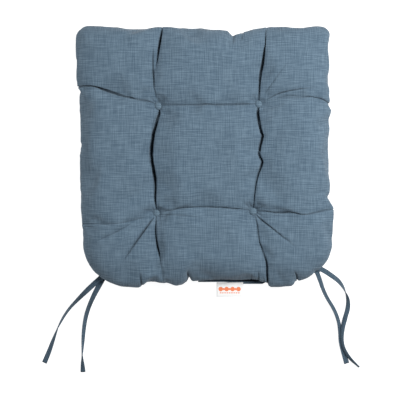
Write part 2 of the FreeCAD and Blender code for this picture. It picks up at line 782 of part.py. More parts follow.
def strap(name, wire):
    """A flat strap swept along a wire, with its width kept level across the path."""
    width = size("tie_width")
    thickness = size("tie_thickness")
    start = wire.Edges[0].Vertexes[0].Point
    ahead = (wire.Edges[0].Vertexes[1].Point - start).normalize()
    across = Z_AXIS.cross(ahead).normalize() * (width / 2)
    upward = ahead.cross(across).normalize() * (thickness / 2)
    corners = [across + upward, upward - across, V() - across - upward, across - upward]
    section = Part.makePolygon([start + c for c in corners + corners[:1]])
    guide = wire.translated(V(0, 0, width))
    sweep = Part.BRepOffsetAPI.MakePipeShell(wire)
    sweep.setAuxiliarySpine(guide, True, 0)
    sweep.add(section)
    sweep.build()
    sweep.makeSolid()
    solid = sweep.shape()
    expected = width * thickness * wire.Length
    print(f"{name}: volume {solid.Volume:.0f}, section times length {expected:.0f}")
    return solid


def make_ties():
    """Four limp tails, the two folds that hold them in the seam, and the bar tacks."""
    for node, points in TIE_ROUTES.items():
        tail = doc.addObject("Part::Feature", f"{node}_strap")
        tail.Shape = strap(node, rounded_route(node, points))
        tail.Placement = FreeCAD.Placement()
        keep(node, tail)
    for side in TIE_ROOTS:
        fold = folded_end(f"fold_{side}", side, "0")
        part_layers(fold, f"fold_{side}")
        keep(f"tie_fold_{side}", fold)
        bars = []
        for level, low in (("over", TIE_STACK), ("under", "0 - bartack_height")):
            bar = slab(
                f"bartack_{side}_{level}", "0 - bartack_inset", "0", low,
                "bartack_width", "tie_width", "bartack_height",
            )
            bar.setExpression(".Placement.Base.y", "-sheet.tie_width / 2")
            bars.append(bar)
        tack = compound(f"bartack_{side}_bars", bars)
        at_tie_root(tack, side)
        keep(f"bartack_{side}", tack)


def make_label():
    """A folded woven label: the end caught between the lips, and the flap that hangs from it."""
    low = "seam_level - fill_gap"
    sewn = slab(
        "label_sewn", "label_left", "label_pivot", low,
        "label_width", "label_sewn_length", "label_thickness",
    )
    flap = slab(
        "label_flap", "label_left", "label_pivot - label_swing_gap - label_drop", low,
        "label_width", "label_drop", "label_thickness",
    )
    doc.recompute()
    keep("label_sewn_end", sewn)
    keep("label", flap)


# ---------------------------------------------------------------- build, check and write

def solids_of(shape):
    """The shape's own solids, without the nesting that boolean results leave behind."""
    solids = shape.Solids
    return solids[0] if len(solids) == 1 else Part.makeCompound(solids)


def check_document():
    for item in doc.Objects:
        if "Invalid" in item.State or "Error" in item.State:
            raise RuntimeError(f"{item.Name} failed: {item.State}")
    for node, item in parts.items():
        if item.Shape.isNull() or not item.Shape.isValid() or not item.Shape.Solids:
            raise RuntimeError(f"{node} has no valid solid")


def write_parts():
    os.makedirs("parts", exist_ok=True)
    for node, item in parts.items():
        solids_of(item.Shape).exportStep(f"parts/{node}.step")
        print(f"{node}: {len(item.Shape.Solids)} solid(s), {item.Shape.Volume:.1f} mm3")


make_cover_and_fill()
make_seam_threads()
make_closing_thread()
make_tufts()
make_ties()
make_label()
doc.recompute()
check_document()
write_parts()
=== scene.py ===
"""Looks for the tufted chair seat pad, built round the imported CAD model. Metres throughout.

The cover is two panels of slub canvas sewn at their rim. They start as a stuffed shape with
valleys pulled in by four buttons, a cloth simulation puffs them up between the pinned seam,
tufts and valleys, and the fine creases, gathers and pleats come last, on the divided mesh.
"""

import math

import bpy
import numpy as np
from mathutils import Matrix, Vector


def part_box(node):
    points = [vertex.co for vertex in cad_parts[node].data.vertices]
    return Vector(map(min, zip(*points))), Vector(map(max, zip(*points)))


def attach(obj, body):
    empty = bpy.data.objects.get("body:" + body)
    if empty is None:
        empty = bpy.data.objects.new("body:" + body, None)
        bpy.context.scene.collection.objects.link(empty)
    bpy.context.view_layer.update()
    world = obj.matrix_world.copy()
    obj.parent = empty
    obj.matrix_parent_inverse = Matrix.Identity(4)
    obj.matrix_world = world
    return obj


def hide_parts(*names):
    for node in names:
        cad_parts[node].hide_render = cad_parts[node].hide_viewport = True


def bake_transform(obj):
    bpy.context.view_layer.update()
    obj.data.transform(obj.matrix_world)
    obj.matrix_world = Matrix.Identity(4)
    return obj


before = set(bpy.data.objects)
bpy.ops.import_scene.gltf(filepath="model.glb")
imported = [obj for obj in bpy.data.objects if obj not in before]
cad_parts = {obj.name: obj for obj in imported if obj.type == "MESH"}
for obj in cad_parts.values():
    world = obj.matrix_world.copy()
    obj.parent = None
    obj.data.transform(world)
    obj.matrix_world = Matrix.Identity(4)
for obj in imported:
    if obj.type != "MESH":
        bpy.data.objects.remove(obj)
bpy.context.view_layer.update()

MM = 0.001
TAU = 2 * math.pi

# ---- sizes of the cushion, in metres
SEAM_Z = 0.038
HALF_WIDTH = 0.2375
FRONT_SEAM = 0.2415
REAR_SEAM = -0.2415
FRONT_RADIUS = 0.017
REAR_RADIUS = 0.085
CROWN_Z = 0.079
UNDER_Z = 0.0008
SEAT_Z = 0.0565
UNDER_SEAT_Z = 0.0142
EDGE_REACH = 0.052
SEAM_TUCK = math.radians(22)

# Each tuft's place and the radius of its level seat.
TUFTS = {
    "front_left": (-0.0870, 0.0950, 0.0005),
    "front_right": (0.1010, 0.0990, 0.0012),
    "rear_left": (-0.0900, -0.1055, 0.0022),
    "rear_right": (0.0905, -0.1025, 0.0055),
}

# Main creases in millimetres: x, y, depth of the valley, depth of the slit at its bottom.
LEFT_COLUMN = (
    (-79, 262, 1, 0), (-80, 243, 3, 0.4), (-81, 232, 5, 6), (-84.7, 208, 7, 8.1), (-88.5, 180, 7, 4),
    (-91.5, 166, 6, 0), (-94, 150, 6, 0), (-94, 125, 6, 0.4), (-87, 95, 10, 0), (-85, 84, 11, 7),
    (-90.5, 64, 10, 9.5), (-95, 46, 9, 10), (-98.3, 24, 9, 11.5), (-100.4, -2, 8, 11.5),
    (-95.6, -23, 8, 11.5), (-93, -45, 8, 10.5), (-92.8, -78, 8, 6), (-91, -95, 9, 2),
    (-90, -105, 10, 0.5), (-91.5, -122, 8, 2.8), (-91.5, -150, 8, 5.6), (-87.4, -176, 7, 7.2),
    (-82.5, -193, 4, 0.8), (-80, -208, 1.5, 0), (-78, -262, 0.3, 0),
)
RIGHT_COLUMN = (
    (114, 262, 0.5, 0), (113, 228, 2, 0.2), (112.6, 214, 4, 5), (109.8, 183, 7, 8), (103.2, 150, 9, 7),
    (101.7, 118, 9, 3.5), (101, 99, 10, 0), (99.6, 86, 10, 8), (100, 74, 10, 8), (103, 54, 8, 8),
    (106.4, 41, 7, 8.5), (107.5, 37, 7, 8.5), (106.2, 33, 7, 8), (101.6, 11, 7, 7), (100.8, 7.5, 7, 7),
    (101.6, 4, 7, 7), (106, -8, 7, 8), (107, -12, 7, 8), (105.8, -16, 7, 7.5), (99.2, -34, 8, 5),
    (93.6, -62, 8, 3.6), (92, -89, 9, 1.6), (90.5, -102.5, 10, 0), (97, -118, 7, 3), (101, -155, 5, 3.6),
    (109.8, -181, 5, 4), (116, -202, 6, 5), (116, -219, 6, 6.4), (121, -262, 6, 7),
)
FRONT_ROW = (
    (-262, 132, 3, 1), (-229, 131, 4, 3), (-205, 129.6, 5, 6.5), (-177, 121, 6, 7), (-139, 108, 6, 5),
    (-99, 102, 8, 2), (-87, 95, 9, 0), (-63, 95.6, 6, 1.5), (14, 96.2, 3.5, 3.2), (80, 97, 5, 2.5),
    (101, 99, 9, 0), (127, 106, 6, 0.5), (156, 111.3, 4.5, 1.5), (191, 110.2, 4, 2), (220, 106.8, 4, 2),
    (236, 98.5, 5, 4), (262, 98, 5, 4),
)
REAR_ROW = (
    (-262, -127, 1, 1), (-226, -126.4, 2, 2.2), (-177, -124.2, 2, 1), (-129, -119, 3, 0.8),
    (-90, -105.5, 9, 0), (-56, -99.3, 5, 1.5), (-22, -94.4, 4, 3), (28, -94.9, 3.5, 3), (79, -99.3, 6, 2),
    (90.5, -102.5, 9, 0), (112, -102.5, 6, 2.5), (138, -105.7, 4, 3.6), (161, -103.8, 4, 4),
    (188, -107.2, 3, 4), (210, -103.5, 2.5, 1.5), (233, -99.3, 2, 1.5), (262, -99, 2, 1),
)
# Smaller creases that run out from the tufts or in from the seam.
SMALL_CREASES = (
    ((-96.5, 204, 1, 0), (-96, 190, 2, 4), (-95.4, 164, 3, 6), (-94.6, 138, 3, 3), (-93, 118, 1, 0)),
    ((-88, 88, 2, 0), (-93.5, 70, 3, 2.5), (-97, 52, 3, 2.2), (-99.5, 34, 1, 0)),
    ((112, 116, 3, 0.5), (122, 130, 4.5, 2.4), (144, 160, 4, 1.6), (156, 176, 0, 0)),
    ((112, 104, 3, 0), (127, 111, 4, 3), (148, 120, 4, 3.6), (188, 126.4, 3, 2.2), (209, 130, 1, 0.2)),
    ((-129, -119.8, 1, 0), (-156, -135, 3.5, 2.4), (-186, -150, 3, 2), (-205, -159, 0, 0)),
    (
        (-95, -113, 3, 1), (-99, -120, 4, 4.5), (-121, -148, 5.5, 7), (-143, -180, 4.5, 4.6),
        (-153, -197, 0, 0),
    ),
    ((97, -109, 3, 1), (101, -115, 4, 4), (127, -135, 4.5, 4.4), (148, -152, 3.5, 3.6), (170, -169, 0, 0)),
    ((190, -105, 0, 0.4), (212, -102, 0.5, 1.5), (233, -101, 0.5, 1)),
    ((-84, -108, 2, 0.4), (-65, -109.4, 2.5, 2.8), (-12, -113.2, 1, 1.4), (0, -114, 0, 0)),
    ((112, -106, 2, 0.5), (130, -110, 2, 1.4), (160, -112, 1, 0.4)),
    ((-226, -131, 0.5, 1.2), (-205, -131.5, 0.5, 0.8), (-190, -131, 0, 0)),
    ((-226, 125, 1, 2), (-212, 124, 0.6, 1.4), (-196, 124.5, 0, 0)),
    ((86, -218, 0, 0), (87, -226, 1, 2.4), (88, -240, 1.4, 3)),
    ((98, -212, 0, 0), (100, -222, 1, 3), (101, -240, 1.4, 4)),
    ((-120, -212, 0, 0), (-120, -226, 1, 3.6), (-117, -245, 1.4, 4.5)),
    ((54, 208, 0, 0), (54, 222, 1.5, 3), (54, 246, 2, 5)),
    ((66, 214, 0, 0), (71, 226, 1.5, 3.6), (72, 246, 2, 3.6)),
    ((165, -210, 0, 0), (171, -220, 1.6, 3.4), (176, -238, 2, 5)),
    ((-29, -206, 0, 0), (-30, -218, 1.5, 4), (-29.5, -240, 2, 6)),
    ((-190, -214, 0, 0), (-196, -222, 1, 2.4), (-204, -236, 1.4, 3)),
)
# How far the sides of the cushion pull in from the plain outline, in millimetres: the place along
# a straight side and the depth there, and round the corners x, y and depth.
LEFT_PULLS = (
    (200, 0), (145, 1), (133, 3), (124.5, 7), (117, 5), (95, 4.5), (60, 4), (30, 4.5), (22.6, 7.5),
    (16, 4.5), (4, 2), (-36, 3.5), (-92, 5.5), (-124, 8), (-138, 12), (-143, 13.5), (-150, 13.5),
)
REAR_PULLS = (
    (-153, 3.5), (-137, 2), (-126, 0), (-119, 2.4), (-111, 9), (-97, 12), (-85, 9), (-68, 6.5), (-54, 1),
    (-42, 3.5), (-34, 10), (-29.5, 19), (-24, 11), (-9, 9.5), (30, 10.5), (60, 11), (100, 11), (113, 9),
    (117.5, 12), (120, 5), (126, 0.5), (150, 2.8), (167, 4.5), (173.5, 9), (176.5, 14),
)
RIGHT_PULLS = (
    (-150, 1), (-110, -1), (-96, 0), (-84, 4.5), (-76, 10), (-69, 6), (-50, 3), (-10, 4), (30, 5),
    (70, 4.5), (89, 2.5), (98, 9), (107, 5), (130, 4.5), (160, 5), (200, 6.5),
)
FRONT_PULLS = (
    (205, -0.5), (161, 1), (124, 2), (95, 5.5), (82, 8.5), (66, 11.5), (53.8, 18.5), (45, 7.5), (29, 3.5),
    (-8, 0), (-50, 0.5), (-84, 1.2), (-140, 1), (-190, -0.6),
)
CORNER_PULLS = (
    (-234, -190, 13), (-216, -220, 11), (-190, -236, 9), (-173, -243, 7), (186, -240, 11), (197, -234, 9),
    (208, -226, 9), (213, -221, 11), (219, -214, 6.5), (226, -206, 5), (232, -194, 3), (237, -180, 3),
    (238, 225, 7), (225, 243, 3), (-215, 243, 0), (-230, 238, 3), (-238, 225, 1),
)
SIDE_PULLS = (
    *((-240, y, depth) for y, depth in LEFT_PULLS), *((240, y, depth) for y, depth in RIGHT_PULLS),
    *((x, -244, depth) for x, depth in REAR_PULLS), *((x, 244, depth) for x, depth in FRONT_PULLS),
    *CORNER_PULLS,
)


def shown(name, data):
    """A new object in the scene."""
    thing = bpy.data.objects.new(name, data)
    bpy.context.scene.collection.objects.link(thing)
    return thing


def solved(thing):
    """The object with its modifiers worked out."""
    return thing.evaluated_get(bpy.context.evaluated_depsgraph_get())


# ---- camera, lights and floor
def make_camera():
    """Straight down on the pad, its front edge at the top of the picture."""
    lens = 0.135
    sensor = 0.036
    view_width = 0.7548
    data = bpy.data.cameras.new("camera")
    data.lens = lens * 1000
    data.sensor_width = sensor * 1000
    camera = shown("camera", data)
    camera.location = (-0.0085, -0.0811, SEAM_Z + view_width * lens / sensor)
    bpy.context.scene.camera = camera


def make_lights():
    """A dim even room, a soft box high on the right and a weaker one on the left."""
    scene = bpy.context.scene
    scene.view_settings.view_transform = "Standard"
    world = bpy.data.worlds.new("room")
    world.use_nodes = True
    tree = world.node_tree
    room = tree.nodes["Background"]
    room.inputs["Color"].default_value = (1.0, 1.0, 1.0, 1)
    room.inputs["Strength"].default_value = 0.12
    wall = tree.nodes.new("ShaderNodeBackground")
    wall.inputs["Color"].default_value = (0.96, 0.96, 0.96, 1)
    path = tree.nodes.new("ShaderNodeLightPath")
    mix = tree.nodes.new("ShaderNodeMixShader")
    tree.links.new(path.outputs["Is Camera Ray"], mix.inputs[0])
    tree.links.new(room.outputs[0], mix.inputs[1])
    tree.links.new(wall.outputs[0], mix.inputs[2])
    tree.links.new(mix.outputs[0], tree.nodes["World Output"].inputs["Surface"])
    scene.world = world
    for name, place, watts in (
        ("soft_box", (0.84, 0.38, 1.46), 38.8),
        ("fill_box", (-1.35, 0.25, 0.80), 8.2),
    ):
        data = bpy.data.lights.new(name, "AREA")
        data.shape = "SQUARE"
        data.size = 0.8
        data.energy = watts
        lamp = shown(name, data)
        lamp.location = place
        direction = lamp.location.copy()
        direction.z -= SEAM_Z
        lamp.rotation_euler = direction.to_track_quat("Z", "Y").to_euler()


def make_floor():
    """White ground that glows a little, so that the pad's shadow hardly shows on it."""
    side = 4.0
    below = -0.0003
    material = Nodes("floor_white").finish(
        (0.3, 0.3, 0.3, 1), Roughness=0.9, Specular_IOR_Level=0.1, Emission_Color=(1, 1, 1, 1),
        Emission_Strength=0.95,
    )
    corners = [(-side, -side, 0), (side, -side, 0), (side, side, 0), (-side, side, 0)]
    floor = new_piece("floor", corners, [(0, 1, 2, 3)], material, smooth=False)
    floor.location.z = below


# ---- materials
class Nodes:
    """A small helper that adds shader nodes and joins them."""

    def __init__(self, name):
        self.material = bpy.data.materials.new(name)
        self.material.use_nodes = True
        self.tree = self.material.node_tree
        self.shader = self.tree.nodes["Principled BSDF"]

    def put(self, node, name, value):
        """Sets an input to a value, or joins it to a socket."""
        if isinstance(value, bpy.types.NodeSocket):
            self.tree.links.new(value, node.inputs[name])
        else:
            node.inputs[name].default_value = value

    def add(self, kind, inputs, **settings):
        node = self.tree.nodes.new(kind)
        for name, value in settings.items():
            setattr(node, name, value)
        for name, value in inputs.items():
            self.put(node, name, value)
        return node

    def math(self, operation, first, second):
        return self.add("ShaderNodeMath", {0: first, 1: second}, operation=operation).outputs[0]

    def noise(self, vector, stretch, detail=2.0):
        """Noise in [0, 1] over the vector, stretched by the three scales."""
        scaled = self.add("ShaderNodeVectorMath", {0: vector, 1: stretch}, operation="MULTIPLY")
        sockets = {"Vector": scaled.outputs[0], "Scale": 1.0, "Detail": detail, "Roughness": 0.5}
        return self.add("ShaderNodeTexNoise", sockets).outputs["Fac"]

    def ramp(self, value, low, high, to_low=0.0, to_high=1.0):
        return self.add(
            "ShaderNodeMapRange",
            {"Value": value, "From Min": low, "From Max": high, "To Min": to_low, "To Max": to_high},
        ).outputs[0]

    def colours(self, value, first, second):
        """A colour between first and second."""
        mix = {"Factor": value, 6: first, 7: second}
        return self.add("ShaderNodeMix", mix, data_type="RGBA").outputs[2]

    def finish(self, colour, height=None, depth=0.0002, **inputs):
        if height is not None:
            bump = self.add("ShaderNodeBump", {"Height": height, "Distance": depth, "Strength": 1.0})
            inputs["Normal"] = bump.outputs[0]
        self.put(self.shader, "Base Color", colour)
        for name, value in inputs.items():
            self.put(self.shader, name.replace("_", " "), value)
        return self.material


def flat_place(nodes):
    """The place on the flat cloth, in metres, that each point of a mesh carries. On the canvas pieces its
    third number is painted shade.
    """
    return nodes.add("ShaderNodeAttribute", {}, attribute_name="flat_place").outputs["Vector"]


def canvas(name, dark, light):
    """Slub canvas: uneven thick threads both ways over a plain weave, and painted shade, near black, at the
    crease bottoms and on the closing lip under the pad's edge.
    """
    weave_pitch = 0.0032
    weave_wander = 9.0
    # near-black colour of the painted shade in the creases and under the pad's edge
    painted_crease_shade = (0.006, 0.010, 0.015, 1)
    nodes = Nodes(name)
    place = flat_place(nodes)
    weft = nodes.noise(place, (34, 400, 0), 1.5)
    warp = nodes.noise(place, (410, 30, 0), 1.5)
    fibre = nodes.noise(place, (500, 500, 0), 2.0)
    mottle = nodes.noise(place, (14, 14, 0), 3.0)
    apart = nodes.add("ShaderNodeSeparateXYZ", {0: place})
    rows = []
    for axis, stretch in ((0, (60, 20, 0)), (1, (20, 60, 0))):
        jitter = nodes.noise(place, stretch, 1.0)
        turn = nodes.math("MULTIPLY", apart.outputs[axis], TAU / weave_pitch)
        turn = nodes.math("ADD", turn, nodes.ramp(jitter, 0.0, 1.0, 0.0, weave_wander))
        rows.append(nodes.math("SINE", turn, 0.0))
    grid = nodes.ramp(nodes.math("ADD", rows[0], rows[1]), -2.0, 2.0, 0.0, 0.9)
    threads = nodes.ramp(weft, 0.32, 0.68, 0.0, 0.9)
    for part in (nodes.ramp(warp, 0.32, 0.68, 0.0, 0.7), grid, nodes.ramp(fibre, 0.3, 0.7, 0.0, 0.35)):
        threads = nodes.math("ADD", threads, part)
    tone = nodes.math("ADD", nodes.ramp(threads, 0.7, 2.35), nodes.ramp(mottle, 0.3, 0.7, -0.03, 0.03))
    # painted shade: the colour goes towards near black by the flat place's third number
    colour = nodes.colours(apart.outputs[2], nodes.colours(tone, dark, light), painted_crease_shade)
    return nodes.finish(
        colour, threads, 0.00014, Roughness=0.88, Specular_IOR_Level=0.15, Sheen_Weight=0.08,
        Sheen_Roughness=0.6,
    )


def object_place(nodes):
    return nodes.add("ShaderNodeTexCoord", {}).outputs["Object"]


def thread(name, dark, light):
    """Twisted thread, told apart by its fine ribs."""
    nodes = Nodes(name)
    ribs = nodes.noise(object_place(nodes), (900, 900, 900), 2.0)
    return nodes.finish(
        nodes.colours(ribs, dark, light), ribs, 0.00005, Roughness=0.7, Specular_IOR_Level=0.3
    )


def steel(name):
    """Zinc-plated pressed sheet with fine scratches."""
    nodes = Nodes(name)
    place = object_place(nodes)
    scratches = nodes.noise(place, (300, 4000, 300), 3.0)
    cloud = nodes.noise(place, (160, 160, 160), 2.0)
    colour = nodes.colours(cloud, (0.5, 0.51, 0.53, 1), (0.66, 0.66, 0.68, 1))
    rough = nodes.ramp(cloud, 0.3, 0.7, 0.28, 0.42)
    return nodes.finish(colour, scratches, 0.00003, Metallic=1.0, Roughness=rough)


def plastic(name, dark, light):
    nodes = Nodes(name)
    grain = nodes.noise(object_place(nodes), (1500, 1500, 1500), 2.0)
    cloud = nodes.noise(object_place(nodes), (90, 90, 90), 2.0)
    rough = nodes.ramp(cloud, 0.3, 0.7, 0.4, 0.52)
    return nodes.finish(nodes.colours(cloud, dark, light), grain, 0.00004, Roughness=rough)


def tape(name):
    """White woven label tape with fine cross ribs."""
    nodes = Nodes(name)
    place = flat_place(nodes)
    ribs = nodes.noise(place, (160, 3500, 1), 2.0)
    stains = nodes.noise(place, (90, 90, 1), 2.0)
    colour = nodes.colours(nodes.ramp(stains, 0.2, 0.8), (0.84, 0.84, 0.83, 1), (0.9, 0.9, 0.895, 1))
    return nodes.finish(colour, ribs, 0.00006, Roughness=0.55, Sheen_Weight=0.1)


def ink(name):
    nodes = Nodes(name)
    fade = nodes.noise(flat_place(nodes), (900, 900, 1), 2.0)
    colour = nodes.colours(nodes.ramp(fade, 0.3, 0.75), (0.78, 0.15, 0.045, 1), (0.86, 0.29, 0.14, 1))
    return nodes.finish(colour, fade, 0.00003, Roughness=0.6)


# ---- mesh helpers
def new_piece(name, points, faces, material, flat=None, smooth=True):
    mesh = bpy.data.meshes.new(name)
    mesh.from_pydata(np.asarray(points).tolist(), [], [list(map(int, face)) for face in faces])
    if flat is not None:
        carry(mesh, "flat_place", flat)
    mesh.polygons.foreach_set("use_smooth", [smooth] * len(mesh.polygons))
    mesh.materials.append(material)
    return shown(name, mesh)


def carry(mesh, name, values):
    """Stores three numbers on each point of the mesh."""
    attribute = mesh.attributes.new(name, "FLOAT_VECTOR", "POINT")
    attribute.data.foreach_set("vector", np.asarray(values, np.float32).ravel())


def numbers(items, field):
    """The three numbers that each point has, such as its place or its normal."""
    values = np.empty(len(items) * 3, np.float32)
    items.foreach_get(field, values)
    return values.reshape(-1, 3).astype(float)


def ring_faces(rings, around):
    """Faces of a tube of equal rings, with its two ends closed."""
    faces = []
    for ring in range(rings - 1):
        for k in range(around):
            a = ring * around + k
            b = ring * around + (k + 1) % around
            faces.append((a, b, b + around, a + around))
    faces.append(tuple(range(around))[::-1])
    faces.append(tuple((rings - 1) * around + k for k in range(around)))
    return faces


def arc(first, last, count):
    """Cosine and sine at even steps from one angle to another, in degrees."""
    return [(math.cos(turn), math.sin(turn)) for turn in np.radians(np.linspace(first, last, count))]


def stitch_mesh(name, stitches, radius):
    """A row of thread stitches. Each is (middle, direction, length) and bows up at its middle."""
    around = 8
    steps = np.linspace(-1, 1, 7)
    points, faces = [], []
    for middle, direction, length in stitches:
        direction = np.asarray(direction, float) / np.linalg.norm(direction)
        side = np.cross(direction, (0, 0, 1))
        side /= max(np.linalg.norm(side), 1e-9)
        up = np.cross(side, direction)
        base = len(points)
        for step in steps:
            thick = radius * math.sqrt(max(1 - step ** 4, 0.06))
            centre = middle + direction * step * length / 2 + up * radius * 0.7 * (1 - step ** 2)
            for k in range(around):
                turn = TAU * k / around
                points.append(centre + thick * (side * math.cos(turn) + up * math.sin(turn)))
        faces += [tuple(base + i for i in face) for face in ring_faces(len(steps), around)]
    return new_piece(name, points, faces, THREAD)


# ---- outline of the pad
def inside_outline(points, extra=0.0):
    """Depth of each point inside the plain outline, grown by extra, and the way out of it."""
    middle = (FRONT_SEAM + REAR_SEAM) / 2
    tall = (FRONT_SEAM - REAR_SEAM) / 2 + extra
    wide = HALF_WIDTH + extra
    x = points[:, 0]
    y = points[:, 1] - middle
    radius = np.where(y > 0, FRONT_RADIUS, REAR_RADIUS) + extra
    beyond_x = np.abs(x) - (wide - radius)
    beyond_y = np.abs(y) - (tall - radius)
    corner = (beyond_x > 0) & (beyond_y > 0)
    reach = np.hypot(beyond_x, beyond_y)
    depth = np.where(corner, radius - reach, radius - np.maximum(beyond_x, beyond_y))
    out_x = np.where(corner, beyond_x / np.maximum(reach, 1e-9), beyond_x >= beyond_y)
    out_y = np.where(corner, beyond_y / np.maximum(reach, 1e-9), beyond_x < beyond_y)
    outward = np.stack([out_x * np.sign(x), out_y * np.sign(y)], 1)
    return depth, outward


def bearing(points):
    return np.arctan2(points[:, 1], points[:, 0])


def angle_between(first, second):
    return np.abs(np.mod(first - second + math.pi, TAU) - math.pi)


def blur_ring(values, width):
    """Gaussian blur of evenly spaced values round a closed ring, with its width in samples."""
    waves = np.fft.rfftfreq(len(values))
    return np.fft.irfft(np.fft.rfft(values) * np.exp(-2 * (math.pi * width * waves) ** 2), len(values))


class SidePull:
    """How far the sides pull in, by bearing from the middle, smoothed more and less."""

    SAMPLES = 3600

    def __init__(self):
        knots = np.array(SIDE_PULLS, float)
        self.bearings = np.arange(self.SAMPLES) * TAU / self.SAMPLES
        depths = np.interp(self.bearings, bearing(knots), knots[:, 2] * MM, period=TAU)
        sharp, whole, broad = (blur_ring(depths, width) for width in (2, 16, 55))
        self.broad = broad
        self.notches = whole - broad
        self.fine_notches = sharp - whole  # too sharp for the coarse net

    def read(self, depths, points):
        return np.interp(bearing(points), self.bearings, depths, period=TAU)


class EdgeProfile:
    """A panel's way in from the seam: it tucks outwards, then rolls over to the level middle."""

    def __init__(self, rise):
        turn = np.linspace(-SEAM_TUCK, math.pi / 2, 400)
        height = rise / (1 + math.sin(SEAM_TUCK))
        self.inward = EDGE_REACH * (math.cos(SEAM_TUCK) - np.cos(turn))
        self.rise = height * (np.sin(turn) + math.sin(SEAM_TUCK))
        steps = np.hypot(np.diff(self.inward), np.diff(self.rise))
        self.along = np.concatenate([[0], np.cumsum(steps)])
        self.extra = self.along[-1] - self.inward[-1]

    def at(self, cloth, share):
        """Inward distance and rise, cloth metres from the seam; share scales the cloth's length."""
        place = cloth * share
        past = np.maximum(place - self.along[-1], 0)
        return np.interp(place, self.along, self.inward) + past, np.interp(place, self.along, self.rise)


# ---- creases and tufts
def rounded_line(crease, times=2):
    """Cuts the corners of a crease so that it bends smoothly; its ends stay."""
    line = np.array(crease, float)
    for _ in range(times):
        first = line[:-1] * 0.75 + line[1:] * 0.25
        second = line[:-1] * 0.25 + line[1:] * 0.75
        middle = np.stack([first, second], 1).reshape(-1, line.shape[1])
        line = np.vstack([line[:1], middle, line[-1:]])
    return line * MM


def from_line(points, line, reach=None):
    """Each point's distance from the line, the valley and slit depths there, and the way to its left."""
    nearest = np.full(len(points), np.inf)
    depths = np.zeros((len(points), 2))
    left = np.zeros((len(points), 2))
    if reach is not None:
        low, high = line[:, :2].min(0) - reach, line[:, :2].max(0) + reach
        close = np.all((points > low) & (points < high), axis=1)
        nearest[close], depths[close], left[close] = from_line(points[close], line)
        return nearest, depths, left
    for start, end in zip(line[:-1], line[1:]):
        run = end[:2] - start[:2]
        share = np.clip(((points - start[:2]) @ run) / (run @ run), 0, 1)
        away = np.hypot(*(points - start[:2] - share[:, None] * run).T)
        closer = away < nearest
        nearest[closer] = away[closer]
        depths[closer] = (start[2:] + share[:, None] * (end[2:] - start[2:]))[closer]
        left[closer] = (-run[1], run[0]) / np.hypot(*run)
    return nearest, depths, left


MAIN_LINES = [rounded_line(line, 1) for line in (LEFT_COLUMN, RIGHT_COLUMN, FRONT_ROW, REAR_ROW)]
SMALL_LINES = [rounded_line(line) for line in SMALL_CREASES]


def sunk(points, tuft_depth, share):
    """Depth of the valleys and of the dimples at the tufts, under the crown."""
    power = 3.0
    near = 0.0065
    total = np.zeros(len(points))
    for lines, wide, wide_share in ((MAIN_LINES, 0.032, 0.75), (SMALL_LINES, 0.012, 0.5)):
        for line in lines:
            away, depths, _ = from_line(points, line)
            falling = 0.5 * np.exp(-away / near) + wide_share * np.exp(-away / wide)
            total += (share * depths[:, 0] * falling) ** power
    for x, y, seat in TUFTS.values():
        away = np.maximum(np.hypot(points[:, 0] - x, points[:, 1] - y) - seat, 0)
        dimple = tuft_depth * (0.55 * np.exp(-away / 0.010) + 0.45 * np.exp(-away / 0.040))
        total += dimple ** power
    return np.minimum(total ** (1 / power), tuft_depth)


# ---- the cover's net of cloth
CELLS = (27, 24, 27)
LINE_X = (-0.090, 0.100)
LINE_Y = (-0.105, 0.097)


def graded(stops, cells, crowd=0.5):
    """Grid lines from stop to stop, closer together beside each stop."""
    lines = [np.array([stops[0]])]
    for low, high, count in zip(stops[:-1], stops[1:], cells):
        step = np.arange(1, count + 1) / count
        step = step - crowd * np.sin(TAU * step) / TAU
        lines.append(low + (high - low) * step)
    return np.concatenate(lines)


def hat(value, centre, low, high):
    """1 at centre, falling to 0 at low and high."""
    rising = np.clip((value - low) / (centre - low), 0, 1)
    falling = np.clip((high - value) / (high - centre), 0, 1)
    share = np.minimum(rising, falling)
    return share * share * (3 - 2 * share)


def cloth_net(extra):
    """Points of the flat panel, its quads and its rim. Grid lines follow the four main creases."""
    middle = (FRONT_SEAM + REAR_SEAM) / 2
    wide = HALF_WIDTH + extra
    front, rear = FRONT_SEAM + extra, REAR_SEAM - extra
    xs = graded((-wide, *LINE_X, wide), CELLS)
    ys = graded((rear, *LINE_Y, front), CELLS)
    x, y = (values.ravel() for values in np.meshgrid(xs, ys))
    radius = np.where(y > middle, FRONT_RADIUS, REAR_RADIUS) + extra
    in_x = (np.abs(x) - (wide - radius)) / radius
    in_y = (np.abs(y - middle) - ((front - rear) / 2 - radius)) / radius
    corner = (in_x > 0) & (in_y > 0)
    round_x = in_x * np.sqrt(np.maximum(1 - in_y ** 2 / 2, 0))
    round_y = in_y * np.sqrt(np.maximum(1 - in_x ** 2 / 2, 0))
    bent_x = np.sign(x) * (wide - radius + radius * round_x)
    bent_y = middle + np.sign(y - middle) * ((front - rear) / 2 - radius + radius * round_y)
    flat = np.stack([np.where(corner, bent_x, x), np.where(corner, bent_y, y)], 1)
    moved = flat.copy()
    left, right, front_row, rear_row = MAIN_LINES
    for axis, line, centre, low, high in (
        (0, left, LINE_X[0], -wide, LINE_X[1]),
        (0, right, LINE_X[1], LINE_X[0], wide),
        (1, rear_row, LINE_Y[0], rear, LINE_Y[1]),
        (1, front_row, LINE_Y[1], LINE_Y[0], front),
    ):
        along = 1 - axis
        order = np.argsort(line[:, along])
        target = np.interp(flat[:, along], line[order, along], line[order, axis])
        moved[:, axis] += hat(flat[:, axis], centre, low, high) * (target - centre)
    columns = len(xs)
    index = np.arange(len(x)).reshape(len(ys), columns)
    quads = np.stack([index[:-1, :-1], index[:-1, 1:], index[1:, 1:], index[1:, :-1]], -1).reshape(-1, 4)
    rim = np.zeros((len(ys), columns), bool)
    rim[[0, -1], :] = True
    rim[:, [0, -1]] = True
    return moved, quads, rim.ravel()


